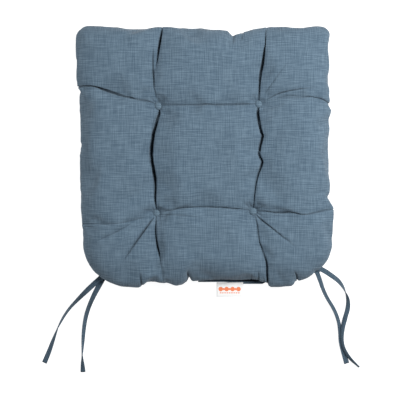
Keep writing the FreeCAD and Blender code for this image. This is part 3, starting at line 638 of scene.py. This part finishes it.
def shaped(flat, profile, up, rng):
    """The stuffed panel and how deep inside its flat cloth each point is. up is 1 on top, -1 below."""
    depth, outward = inside_outline(flat, TOP.extra)
    depth = np.maximum(depth, 0)
    share = profile.extra / TOP.extra
    inward, rise = profile.at(depth, 1.0 + (share - 1.0) * np.exp(-depth / 0.1))
    if up < 0:
        inward, _ = TOP.at(depth, 1.0)
    plan = flat + outward * (depth - TOP.extra - inward)[:, None]
    reach = PULL.read(PULL.broad, plan) * np.exp(-(depth / 0.10) ** 2)
    reach += PULL.read(PULL.notches, plan) * np.exp(-(depth / 0.042) ** 2)
    plan = plan - outward * reach[:, None]
    level = rise / profile.rise[-1]
    if up > 0:
        rolling = sum(
            amplitude * np.sin(plan[:, 0] * wave_x + plan[:, 1] * wave_y + phase)
            for amplitude, wave_x, wave_y, phase in zip(
                rng.uniform(0.0004, 0.0009, 6), rng.uniform(-90, 90, 6), rng.uniform(-90, 90, 6),
                rng.uniform(0, TAU, 6),
            )
        )
        lowered = sunk(plan, CROWN_Z - SEAT_Z, 1.0) + rolling
    else:
        lowered = sunk(plan, UNDER_SEAT_Z - UNDER_Z, 0.55)
    height = SEAM_Z + up * (rise - lowered * level ** 0.7)
    return np.column_stack([plan, height]), depth


TOP = EdgeProfile(CROWN_Z - SEAM_Z)
UNDER = EdgeProfile(SEAM_Z - UNDER_Z)
PULL = SidePull()


def simulate(points, faces, weights, frames=14):
    """Puffs the sewn cover up with Cloth. Points of weight 1 are pinned, and lower weights hold less."""
    mesh = bpy.data.meshes.new("cover_cloth")
    mesh.from_pydata(points.tolist(), [], faces.tolist())
    cloth_piece = shown("cover_cloth", mesh)
    pins = cloth_piece.vertex_groups.new(name="pins")
    for index in np.flatnonzero(weights > 0):
        pins.add([int(index)], float(weights[index]), "REPLACE")
    cloth = cloth_piece.modifiers.new("Cloth", "CLOTH")
    settings = cloth.settings
    settings.quality = 6
    settings.mass = 0.3
    settings.tension_stiffness = 15
    settings.compression_stiffness = 6
    settings.shear_stiffness = 4
    settings.bending_stiffness = 0.35
    settings.pin_stiffness = 0.6
    settings.vertex_group_mass = "pins"
    settings.use_pressure = True
    settings.uniform_pressure_force = 3.2
    settings.shrink_min = -0.035
    settings.effector_weights.gravity = 0
    cloth.collision_settings.use_collision = False
    cloth.collision_settings.use_self_collision = False
    cloth.point_cache.frame_start = 1
    cloth.point_cache.frame_end = frames
    for step in range(1, frames + 1):
        bpy.context.scene.frame_set(step)
    result = numbers(solved(cloth_piece).data.vertices, "co")
    bpy.data.objects.remove(cloth_piece)
    bpy.data.meshes.remove(mesh)
    bpy.context.scene.frame_set(1)
    return result


def capped(start, moved, cap):
    """Each point's move from start, no longer than cap."""
    step = moved - start
    length = np.linalg.norm(step, axis=1, keepdims=True)
    return start + step * np.minimum(1, cap / np.maximum(length, 1e-9))


def divided(mesh, levels):
    """The mesh after Catmull-Clark division, with what its points carry."""
    piece = shown("dividing", mesh)
    surface = piece.modifiers.new("Subdivision", "SUBSURF")
    surface.levels = levels
    surface.boundary_smooth = "ALL"
    fine = bpy.data.meshes.new_from_object(solved(piece))
    bpy.data.objects.remove(piece)
    return fine


def gathers(plan, depth, rng):
    """Small gathers that the stitching draws into the cloth along the seam."""
    angle = bearing(plan)
    radius = np.hypot(plan[:, 0], plan[:, 1])
    total = np.zeros(len(plan))
    place = 0.0
    while place < TAU:
        place += rng.uniform(0.028, 0.085)
        strong = 0.0012 * rng.uniform(0.2, 1.0) ** 1.5
        width = rng.uniform(0.0022, 0.0042)
        length = rng.uniform(0.008, 0.026)
        lean = rng.uniform(-0.35, 0.35)
        away = angle_between(angle, place) * radius - lean * depth
        total += strong * np.exp(-(away / width) ** 2) * np.exp(-depth / length)
    return total


def pleats(plan, rng):
    """Fine pleats that fan out from each button."""
    deepest, width = 0.0021, 0.0016
    total = np.zeros(len(plan))
    for x, y, seat in TUFTS.values():
        side, ahead = plan[:, 0] - x, plan[:, 1] - y
        away = np.hypot(side, ahead)
        angle = np.arctan2(ahead, side)
        place = rng.uniform(0, 0.5)
        while place < TAU:
            strong = rng.uniform(0.3, 1.0) * deepest
            length = rng.uniform(0.006, 0.020)
            turned = angle_between(angle, place) * away
            reach = np.exp(-np.maximum(away - seat, 0) / length)
            clear = np.clip(away / seat - 0.4, 0, 1)
            total += strong * np.exp(-(turned / width) ** 2) * (reach * clear)
            place += rng.uniform(0.35, 0.75)
    return total


def slits(plan, share):
    """The narrow bottoms of the creases, where the cloth folds against itself, the way they lean, and the
    painted shade that darkens them.
    """
    lean = 0.14
    thinnest, wider_by_depth = 0.0007, 0.00011
    # painted shade along the slits: the depth that makes it fullest, how near black it goes, and how much
    # wider it spreads when darkest
    black_depth, blackest, dark_width = 7.5 * MM, 0.97, 0.0003
    total = np.zeros(len(plan))
    shade = np.zeros(len(plan))
    sideways = np.zeros((len(plan), 3))
    for line in MAIN_LINES + SMALL_LINES:
        away, depths, left = from_line(plan, line, reach=0.012)
        depth = depths[:, 1]
        width = thinnest + wider_by_depth * depth / MM
        dark = np.clip(share * depth / black_depth, 0, 1) ** 0.8
        shade = np.maximum(shade, dark * np.exp(-(away / (thinnest + dark_width * dark)) ** 2))
        fold = share * depth * np.exp(-(away / width) ** 2)
        deeper = fold > total
        total[deeper] = fold[deeper]
        sideways[deeper, :2] = left[deeper] * (lean * fold[deeper])[:, None]
    return total, sideways, shade * blackest


def make_cover():
    """Both panels of the cover, simulated as one sewn bag."""
    firm_valley, firm_hold, hold_width = 8 * MM, 0.8, 0.0016
    least_move, more_inside, inside_depth = 0.003, 0.006, 0.07
    pinned_rim = 0.002
    rng = np.random.default_rng(7)
    flat, quads, rim = cloth_net(TOP.extra)
    top, depth = shaped(flat, TOP, 1, rng)
    low, _ = shaped(flat, UNDER, -1, rng)
    count = len(flat)
    inner = np.flatnonzero(~rim)
    below = np.arange(count)
    below[inner] = count + np.arange(len(inner))
    start = np.vstack([top, low[inner]])
    faces = np.vstack([quads, below[quads][:, ::-1]])
    weights = np.zeros(len(start))
    for line in MAIN_LINES:
        away, depths, _ = from_line(start[:, :2], line)
        hold = np.clip(depths[:, 0] / firm_valley, 0.1, 1) * firm_hold
        weights = np.maximum(weights, hold * (away < hold_width))
    for x, y, seat in TUFTS.values():
        weights[np.hypot(start[:, 0] - x, start[:, 1] - y) < seat + pinned_rim] = 1
    weights[:count][rim] = 1
    moved = simulate(start, faces, weights)
    inside = np.concatenate([depth, depth[inner]])
    cap = least_move + more_inside * np.clip(inside / inside_depth, 0, 1)
    moved = capped(start, moved, cap[:, None])
    moved[:, 2] = np.clip(moved[:, 2], UNDER_Z, None)
    start = moved
    pieces = []
    for name, index, up in (("cover_top", np.arange(count), 1), ("cover_bottom", below, -1)):
        mesh = bpy.data.meshes.new(name)
        order = quads if up > 0 else quads[:, ::-1]
        mesh.from_pydata(start[index].tolist(), [], order.tolist())
        plan = (top if up > 0 else low)[:, :2]
        carry(mesh, "flat_place", np.column_stack([flat, np.zeros(count)]))
        carry(mesh, "plan_place", np.column_stack([plan, depth]))
        fine = divided(mesh, 2)
        fine.name = name
        bpy.data.meshes.remove(mesh)
        pieces.append(detailed(name, fine, up, rng))
    return pieces


def detailed(name, mesh, up, rng):
    """Adds slits, pleats, gathers, sharp notches and painted shade at the crease bottoms to a divided
    panel, and gives it its material.
    """
    under_share, seam_margin, notch_reach = 0.35, 0.004, 0.028
    place = numbers(mesh.attributes["plan_place"].data, "vector")
    points = numbers(mesh.vertices, "co")
    normals = numbers(mesh.vertex_normals, "vector")
    plan, depth = place[:, :2], np.maximum(place[:, 2], 0)
    slit, sideways, shade = slits(plan, 1.0 if up > 0 else under_share)
    fold = slit + gathers(plan, depth, rng) + pleats(plan, rng)
    off_seam = np.clip(depth / seam_margin, 0, 1)[:, None]
    points = points + (sideways - normals * fold[:, None]) * off_seam
    _, outward = inside_outline(plan)
    notch = 1.15 * PULL.read(PULL.fine_notches, plan) * np.exp(-(depth / notch_reach) ** 2)
    points[:, :2] -= outward * notch[:, None]
    flat_data = mesh.attributes["flat_place"].data
    flat = numbers(flat_data, "vector")
    # the third number of the flat place carries the painted shade of the crease bottoms to the canvas
    flat[:, 2] = shade
    flat_data.foreach_set("vector", flat.astype(np.float32).ravel())
    if up < 0:
        points[:, 2] = np.maximum(points[:, 2], UNDER_Z)
    mesh.vertices.foreach_set("co", points.ravel())
    mesh.attributes.remove(mesh.attributes["plan_place"])
    mesh.polygons.foreach_set("use_smooth", [True] * len(mesh.polygons))
    mesh.materials.clear()
    mesh.materials.append(CANVAS)
    return shown(name, mesh)


# ---- ties
TIE_WIDTH = 0.010
TIE_THICK = 0.0016
TIE_CURL = 0.0011
STITCH_LINE = 0.31  # how far the stitches lie from the tape's middle, in tape widths
# Where each pair leaves the seam, x and y in millimetres, and the way out in degrees.
TIE_ROOTS = {"left": (-198.0, -234.1, 240.4), "right": (216.2, -220.5, 313.9)}
# Each tail: its route in millimetres, and its twist as (share of the length, degrees).
TAILS = {
    "tie_left_outer": (
        (
            (-191, -223.5, 39.4), (-209, -239.5, 37.6), (-228, -257, 28), (-243, -271.5, 15),
            (-259, -288, 6.6), (-273, -309, 5.6), (-283.5, -332, 5.6), (-292, -355, 3.4),
            (-299, -375, 1.6), (-306.3, -392, 1.2),
        ),
        (
            (0, 6), (0.2, 16), (0.38, 56), (0.52, 68), (0.62, 74), (0.69, 104), (0.78, 130), (0.9, 156),
            (1, 166),
        ),
    ),
    "tie_left_inner": (
        (
            (-188.5, -224.5, 36.6), (-203, -248.5, 34.8), (-214, -269.5, 24), (-222, -287.5, 11),
            (-228.2, -307.5, 3.6), (-231.4, -330, 2.6), (-233, -353.5, 3.8), (-234, -376, 5.6),
            (-233.6, -395, 3.4), (-232.4, -410, 1.3),
        ),
        ((0, -10), (0.2, 26), (0.45, 44), (0.62, 50), (0.75, 70), (0.84, 92), (0.93, 140), (1, 172)),
    ),
    "tie_right_inner": (
        (
            (208.5, -209, 36.6), (216.5, -229, 35), (223.5, -250, 26), (233, -268.5, 13),
            (246.5, -289, 5), (255, -310, 3.6), (258.5, -331, 3.4), (259.5, -350, 3.2),
            (265.5, -372, 1.6), (271.8, -393.5, 1.2),
        ),
        ((0, 24), (0.2, 42), (0.4, 50), (0.55, 48), (0.7, 38), (0.85, 18), (1, 4)),
    ),
    "tie_right_outer": (
        (
            (210, -207, 39.4), (225, -214, 38), (242.5, -226, 31), (255.5, -236, 20),
            (266, -250.5, 9.4), (273.5, -269, 5.4), (273.8, -287, 5.0), (268.5, -304, 5.8),
            (263.3, -323, 7.4), (260.6, -343.5, 7.8), (263, -361, 7.2), (271.5, -377, 6),
            (282.5, -390, 5.4), (294.8, -400.5, 5.1),
        ),
        (
            (0, 12), (0.16, 24), (0.29, 50), (0.37, 96), (0.45, 148), (0.53, 150), (0.64, 138),
            (0.78, 128), (0.9, 122), (1, 108),
        ),
    ),
}


def tape_section(width, thick):
    """Half round edges, and a shallow groove where the folded tape is stitched down."""
    half, low = width / 2, thick / 2
    groove = STITCH_LINE * 2
    edge = [(half - low + low * outward, low * up) for up, outward in arc(0, 180, 6)]
    top = [(half * share, low * (0.72 if share == groove else 1.0))
           for share in (-0.8, -0.5, -0.15, 0.2, 0.5, groove, 0.72)]
    other_edge = [(-x, -z) for x, z in edge]
    under = [(x, -z) for x, z in reversed(top)]
    return np.array(top + edge + under + other_edge)


def route_curve(name, route):
    """A NURBS line with the route's points as its control points."""
    data = bpy.data.curves.new(name, "CURVE")
    data.dimensions = "3D"
    data.resolution_u = 12
    spline = data.splines.new("NURBS")
    spline.points.add(len(route) - 1)
    for point, (x, y, z) in zip(spline.points, route):
        point.co = (x * MM, y * MM, z * MM, 1)
    spline.order_u = 3
    spline.use_endpoint_u = True
    curve = shown(name, data)
    mesh = bpy.data.meshes.new_from_object(solved(curve))
    line = numbers(mesh.vertices, "co")
    bpy.data.meshes.remove(mesh)
    bpy.data.objects.remove(curve)
    return line


def frames_along(line, twist, side=None):
    """The tape's directions at each point of the line, with its twist, and how far along it each is."""
    tangents = np.gradient(line, axis=0)
    tangents /= np.linalg.norm(tangents, axis=1, keepdims=True)
    if side is None:
        side = np.cross(tangents, (0, 0, 1))
        side /= np.linalg.norm(side, axis=1, keepdims=True)
    up = np.cross(side, tangents)
    steps = np.concatenate([[0], np.cumsum(np.linalg.norm(np.diff(line, axis=0), axis=1))])
    share = steps / steps[-1]
    shares, degrees = zip(*twist)
    fine = np.linspace(0, 1, 200)
    soft = np.pad(np.interp(fine, shares, degrees), 12, mode="edge")
    soft = np.convolve(soft, np.ones(25) / 25, mode="valid")
    angle = np.radians(np.interp(share, fine, soft))[:, None]
    across = side * np.cos(angle) + up * np.sin(angle)
    return tangents, across, np.cross(across, tangents), steps


def tape_mesh(name, line, twist, side=None, pinch_end=False):
    """A flat tape swept along the line, and its row of stitches."""
    uneven = 0.05
    pinch, pinch_long = 0.45 * pinch_end, 1.6
    tangents, across, up, steps = frames_along(line, twist, side)
    section = tape_section(TIE_WIDTH, TIE_THICK)
    curl = TIE_CURL * (section[:, 0] / TIE_WIDTH * 2) ** 2
    rng = np.random.default_rng(len(name))
    wander = np.convolve(rng.normal(0, 1, len(line) + 8), np.ones(9) / 9, mode="valid")
    from_end = (steps[-1] - steps) / TIE_WIDTH
    widths = (1 + uneven * wander) * (1 - pinch * np.maximum(0, 1 - from_end / pinch_long))
    points, flat = [], []
    for k, centre in enumerate(line):
        level_part = np.outer(section[:, 0] * widths[k], across[k])
        points.append(centre + level_part + np.outer(section[:, 1] + curl, up[k]))
        flat.append([(steps[k], x + z, 0) for x, z in section])
    points, flat = np.vstack(points), np.vstack(flat)
    points[:, 2] = np.maximum(points[:, 2], 0.0001)
    piece = new_piece(name, points, ring_faces(len(line), len(section)), SHADED_TIE_CANVAS, flat)
    stitch_gap, stitch_long, clear_end = 0.0034, 0.0022, 0.003
    stitches = []
    place = clear_end
    while place < steps[-1] - clear_end:
        k = int(np.searchsorted(steps, place))
        offset = across[k] * TIE_WIDTH * STITCH_LINE + up[k] * TIE_THICK * 0.36
        stitches.append((line[k] + offset, tangents[k], stitch_long))
        place += stitch_gap
    return piece, stitches


def tie_root(side):
    """Where a pair of ties leaves the seam, and the level way out of the pad there."""
    x, y, degrees = TIE_ROOTS[side]
    turn = math.radians(degrees)
    return np.array((x * MM, y * MM, SEAM_Z)), np.array((math.cos(turn), math.sin(turn), 0))


def make_ties():
    for name, (route, twist) in TAILS.items():
        line = route_curve(name, route)
        piece, stitches = tape_mesh(name + "_tape", line, twist, pinch_end=name == "tie_right_outer")
        thread_row = stitch_mesh(name + "_stitches", stitches, 0.00022)
        for part in (piece, thread_row):
            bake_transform(part)
        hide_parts(name)


def make_tie_folds():
    """The tape's middle, folded back on itself and sewn into the corner of the seam."""
    mouth, fold, layer = 2.0, 12.0, 1.1
    bars, bar_long, bar_slant = 9, 0.0026, 0.0007
    # The doubled first point keeps the tape's ends straight.
    upper = ((mouth, layer), (mouth, layer), (fold * 0.5, layer * 1.1), (fold, layer * 1.1))
    for side in TIE_ROOTS:
        root, way = tie_root(side)
        across = np.array((-way[1], way[0], 0))
        places = upper + ((fold + 2.4, 0),) + tuple((inward, -height) for inward, height in reversed(upper))
        route = [root / MM - way * inward + (0, 0, height) for inward, height in places]
        line = route_curve(f"fold_route_{side}", route)
        piece, _ = tape_mesh(f"tie_fold_{side}_tape", line, ((0, 0), (1, 0)), side=across)
        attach(piece, "pad")
        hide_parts(f"tie_fold_{side}")
        stitches = []
        for k in range(bars):
            shift = (2 * k / (bars - 1) - 1) * TIE_WIDTH * 0.42
            middle = root - way * 0.0052 + across * shift + (0, 0, 0.0021)
            slant = across * (bar_slant if k % 2 else -bar_slant)
            stitches.append((middle, way * 0.0020 + slant, bar_long))
        tack = stitch_mesh(f"bartack_{side}_thread", stitches, 0.00025)
        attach(tack, "pad")
        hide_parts(f"bartack_{side}")


# ---- closing seam, label, buttons
def make_closing_lip():
    """The turned-in edges of the stuffing hole, stitched flat along the rear seam, with painted shadow
    under the pad's edge.
    """
    first, last, samples = -0.012, 0.117, 120
    inner, edge = -0.2285, -0.2334
    half, level = 0.0011, SEAM_Z - 0.004
    xs = np.linspace(first, last, samples)
    share = (xs - first) / (last - first)
    out = 0.0016 + 0.0036 * np.clip((share - 0.35) / 0.3, 0, 1) ** 1.5 * np.clip((1 - share) / 0.06, 0, 1)
    tips = edge - out
    waves = 0.0007 * np.sin(xs * 310) + 0.0005 * np.sin(xs * 740 + 1)
    # The third number of each spot is painted shadow: dark on top of the lip next to the pad's overhanging
    # edge, fading out towards the lip's tip.
    below = ((0.0, 0), (0.35, 0), (0.7, 0))
    above = ((0.72, 0.1), (0.55, 0.9), (0.35, 0.95), (0.0, 0.95))
    points, flat = [], []
    for x, tip, wave in zip(xs, tips, waves):
        ring = [(inner + (tip - inner) * reach, wave * reach - half, shade) for reach, shade in below]
        ring += [(tip - half * outward, wave + half * up, 0) for outward, up in arc(-90, 90, 7)]
        ring += [(inner + (tip - inner) * reach, wave * reach + half, shade) for reach, shade in above]
        points += [(x, y, level + z) for y, z, _ in ring]
        flat += [(x, y, shade) for y, _, shade in ring]
    piece = new_piece("closing_lip", points, ring_faces(samples, len(ring)), CANVAS, flat)
    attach(piece, "pad")
    stitches = []
    for k in range(2, samples - 2, 3):
        middle = (xs[k], tips[k] + 0.0012, level + half + waves[k] * 0.9 + 0.00005)
        stitches.append((middle, (1, 0, 0), 0.0026))
    row = stitch_mesh("closing_stitches", stitches, 0.00025)
    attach(row, "pad")
    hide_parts("closing_seam_thread")


LABEL_LEFT, LABEL_RIGHT = 0.023, 0.073
LABEL_TIP = -0.2635
LABEL_ROOT = -0.2365
LABEL_GAP = 0.00055  # from the middle of the folded label to each layer


def label_height(x, y):
    """Middle height of the folded label, which curls a little towards its tip."""
    out = (LABEL_ROOT - y) / (LABEL_ROOT - LABEL_TIP)
    bow = 0.0006 * math.sin((x - LABEL_LEFT) / (LABEL_RIGHT - LABEL_LEFT) * math.pi)
    return SEAM_Z - 0.0005 - 0.0022 * out ** 2 + bow * out


def make_label():
    """A folded tape label sewn into the rear seam, with a plain printed motif."""
    thick = 0.00022
    columns, rows = 26, 22
    bend = LABEL_TIP + LABEL_GAP
    straight = np.linspace(LABEL_ROOT, bend, rows)
    path = [(y, LABEL_GAP) for y in straight]
    path += [(bend - LABEL_GAP * outward, LABEL_GAP * up) for outward, up in arc(75, -75, 6)]
    path += [(y, -LABEL_GAP) for y in straight[::-1]]
    loop = []
    for grow, order in ((thick / 2, path), (-thick / 2, path[::-1])):
        for y, off in order:
            tip = -grow if y < LABEL_TIP + LABEL_GAP * 0.9 else 0
            share = off / LABEL_GAP
            loop.append((y + tip, off + grow * (round(share) if abs(share) > 0.5 else share)))
    points, flat = [], []
    for x in np.linspace(LABEL_LEFT, LABEL_RIGHT, columns):
        points += [(x, y, label_height(x, y) + off) for y, off in loop]
        flat += [(x, y, off) for y, off in loop]
    piece = new_piece("label_tape", points, ring_faces(columns, len(loop)), TAPE, flat)
    marks = make_motif()
    for part in (piece, marks):
        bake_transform(part)
    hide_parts("label", "label_sewn_end")


def make_motif():
    """Generic print: a row of round and square dots over a broken line."""
    lift, ink_thick = LABEL_GAP + 0.00016, 0.00006
    row, first_dot, dot_gap = -0.2492, 0.0306, 0.0056
    line, first_dash, dash_gap, dash_long, dash_wide = -0.2572, 0.0288, 0.0043, 0.0030, 0.0017
    shapes = []
    for k in range(7):
        size, sides = (0.0043, 20) if k % 2 == 0 else (0.0026, 4)
        centre = first_dot + k * dot_gap
        turns = np.arange(sides) * TAU / sides
        shapes.append([(centre + size * math.cos(turn), row + size * math.sin(turn)) for turn in turns])
    for k in range(9):
        left = first_dash + k * dash_gap
        right, top = left + dash_long, line + dash_wide
        shapes.append([(left, line), (right, line), (right, top), (left, top)])
    points, faces, flat = [], [], []
    for outline in shapes:
        base, count = len(points), len(outline)
        for level in (lift, lift - ink_thick):
            points += [(x, y, label_height(x, y) + level) for x, y in outline]
            flat += [(x, y, 0) for x, y in outline]
        faces.append(tuple(range(base, base + count)))
        faces.append(tuple(range(base + count, base + 2 * count))[::-1])
        for k in range(count):
            after = (k + 1) % count
            faces.append((base + k, base + count + k, base + count + after, base + after))
    return new_piece("label_motif", points, faces, INK, flat, smooth=False)


def make_buttons():
    """Covered buttons: a dome of canvas drawn tight, pleated where it turns under."""
    around, rings = 48, 16
    cap_radius, cap_height, lift = 0.0078, 0.0052, 0.0004
    under_turn, pin_hole = math.radians(118), 0.0002
    pleats_round, pleat_depth = 12, 0.035
    for where in TUFTS:
        low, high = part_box(f"button_cap_{where}")
        centre_x, centre_y, base = (low[0] + high[0]) / 2, (low[1] + high[1]) / 2, low[2]
        points, flat = [], []
        for ring in range(rings + 1):
            share = ring / rings
            height = base + lift + cap_height * max(math.cos(share * under_turn), -0.06)
            for k in range(around):
                angle = TAU * k / around
                pleat = 1 + pleat_depth * math.sin(angle * pleats_round + ring) * share ** 3
                reach = cap_radius * math.sin(share * under_turn) ** 0.9 * pleat if ring else pin_hole
                x, y = reach * math.cos(angle), reach * math.sin(angle)
                points.append((centre_x + x, centre_y + y, height))
                flat.append((x, y, 0))
        faces = ring_faces(rings + 1, around)
        piece = new_piece(f"covered_button_{where}", points, faces, CANVAS_BUTTON, flat)
        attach(piece, "pad")
        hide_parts(f"button_cap_{where}")


def dress_cad_nodes():
    """Procedural finishes for the CAD nodes that stay."""
    steel_parts = ("button_shell", "button_back", "button_shank")
    finishes = {steel_parts: STEEL, "twine": TWINE, "under_button": PLASTIC}
    for name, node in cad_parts.items():
        for starts, material in finishes.items():
            if name.startswith(starts):
                node.data.materials.clear()
                node.data.materials.append(material)


CANVAS = canvas("slub_canvas", (0.058, 0.096, 0.136, 1), (0.132, 0.193, 0.250, 1))
CANVAS_BUTTON = canvas("button_canvas", (0.068, 0.109, 0.148, 1), (0.138, 0.200, 0.253, 1))
# The ties are of the pad's canvas; their colours are darkened to about six tenths of it as painted shade.
SHADED_TIE_CANVAS = canvas("tie_canvas_painted_shade", (0.034, 0.060, 0.087, 1), (0.080, 0.123, 0.165, 1))
THREAD = thread("sewing_thread_finish", (0.05, 0.085, 0.12, 1), (0.10, 0.15, 0.20, 1))
TWINE = thread("waxed_twine_finish", (0.50, 0.46, 0.38, 1), (0.68, 0.65, 0.57, 1))
STEEL = steel("plated_steel_finish")
PLASTIC = plastic("button_plastic_finish", (0.07, 0.105, 0.14, 1), (0.10, 0.145, 0.185, 1))
TAPE = tape("label_tape_finish")
INK = ink("label_ink")

make_camera()
make_ties()
make_lights()
make_floor()
cover_top, cover_bottom = make_cover()
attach(cover_top, "pad")
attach(cover_bottom, "pad")
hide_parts("top_panel", "fibre_fill", "needle_thread")
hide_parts("bottom_panel", "bobbin_thread")
make_tie_folds()
make_closing_lip()
make_label()
make_buttons()
dress_cad_nodes()
